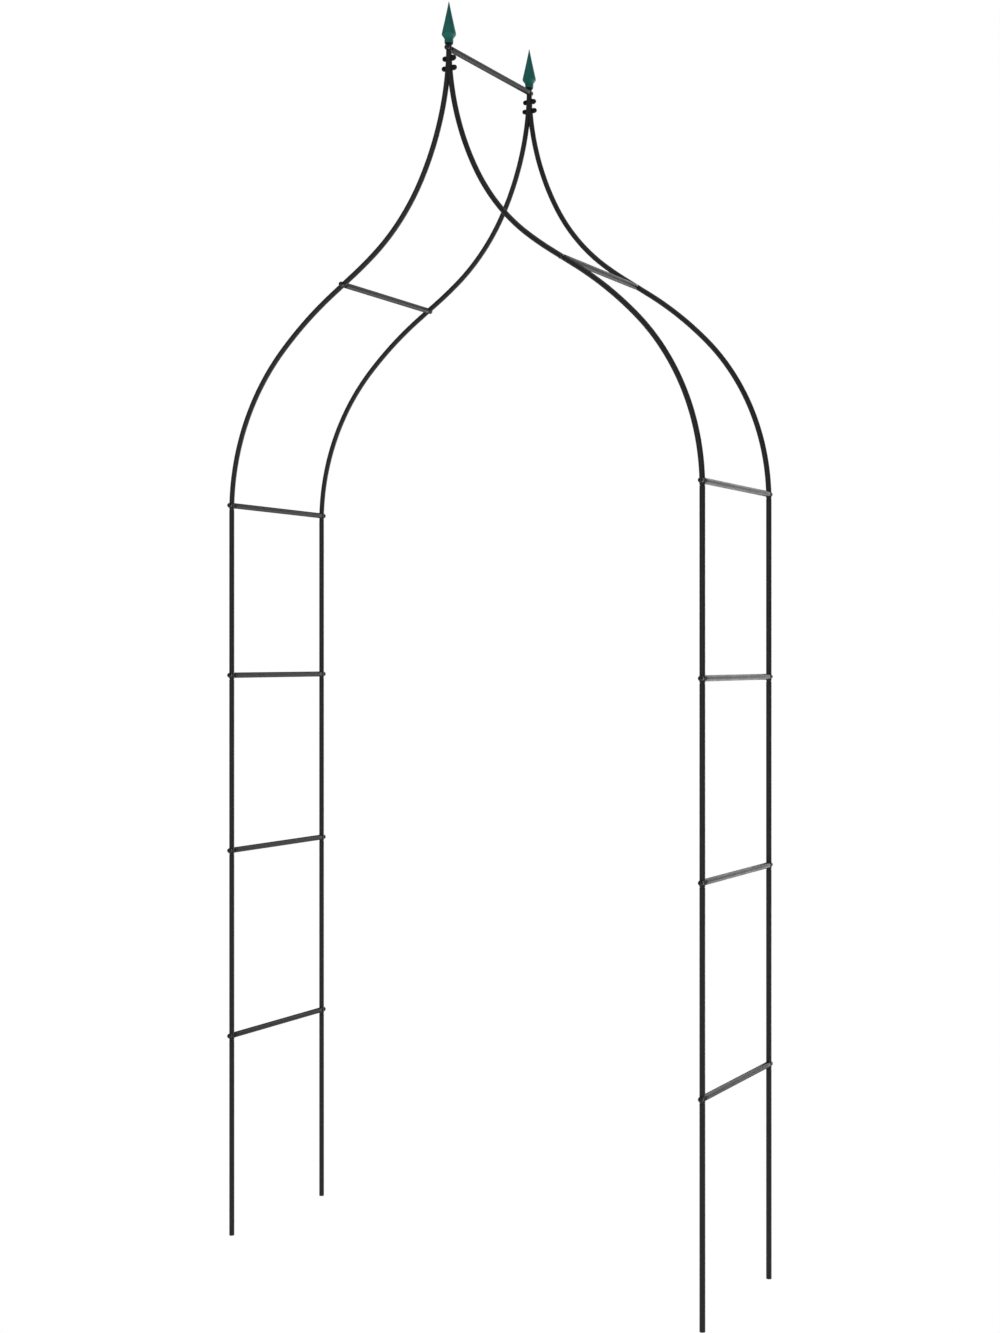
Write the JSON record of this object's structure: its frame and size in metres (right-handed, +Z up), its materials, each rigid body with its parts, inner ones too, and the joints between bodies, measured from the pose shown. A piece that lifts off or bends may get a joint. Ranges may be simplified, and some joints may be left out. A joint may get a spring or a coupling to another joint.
{
  "type": "garden arch",
  "caption": "Tall garden trellis arch of thin dark steel tube: two ogee arches joined by ladder rungs at the sides and one at the ridge, with a green spear finial on each apex.",
  "frame": {"origin": "on the ground at the middle of the four legs", "axes": "+Z up, +Y through the arch from front to rear, +X across it to the right seen from the front"},
  "size_m": [1.1246, 0.3614, 2.5838],
  "materials": {
    "arch_tube": "satin anthracite powder coat on drawn steel tube",
    "rung_tube": "satin anthracite powder coat on drawn steel tube",
    "plug": "black moulded nylon",
    "screw": "black plated steel screw head",
    "bolt": "black plated steel",
    "collar": "black moulded plastic",
    "finial": "satin moulded plastic, deep teal green"
  },
  "bodies": {
    "root": {"front_left_foot": "arch_tube", "front_left_lower_leg": "arch_tube", "front_left_middle_leg": "arch_tube", "front_left_upper_leg": "arch_tube", "front_left_shoulder_bow": "arch_tube", "front_left_crown_bow": "arch_tube", "front_right_foot": "arch_tube", "front_right_lower_leg": "arch_tube", "front_right_middle_leg": "arch_tube", "front_right_upper_leg": "arch_tube", "front_right_shoulder_bow": "arch_tube", "front_right_crown_bow": "arch_tube", "rear_left_foot": "arch_tube", "rear_left_lower_leg": "arch_tube", "rear_left_middle_leg": "arch_tube", "rear_left_upper_leg": "arch_tube", "rear_left_shoulder_bow": "arch_tube", "rear_left_crown_bow": "arch_tube", "rear_right_foot": "arch_tube", "rear_right_lower_leg": "arch_tube", "rear_right_middle_leg": "arch_tube", "rear_right_upper_leg": "arch_tube", "rear_right_shoulder_bow": "arch_tube", "rear_right_crown_bow": "arch_tube", "left_rung_1": "rung_tube", "left_rung_2": "rung_tube", "left_rung_3": "rung_tube", "left_rung_4": "rung_tube", "left_rung_5": "rung_tube", "right_rung_1": "rung_tube", "right_rung_2": "rung_tube", "right_rung_3": "rung_tube", "right_rung_4": "rung_tube", "right_rung_5": "rung_tube", "ridge_rung": "rung_tube", "front_rung_plugs": "plug", "rear_rung_plugs": "plug", "front_rung_screws": "screw", "rear_rung_screws": "screw", "front_apex_bolts": "bolt", "front_apex_nuts": "bolt", "rear_apex_bolts": "bolt", "rear_apex_nuts": "bolt", "front_collar": "collar", "rear_collar": "collar", "front_finial": "finial", "rear_finial": "finial"}
  },
  "joints": []
}
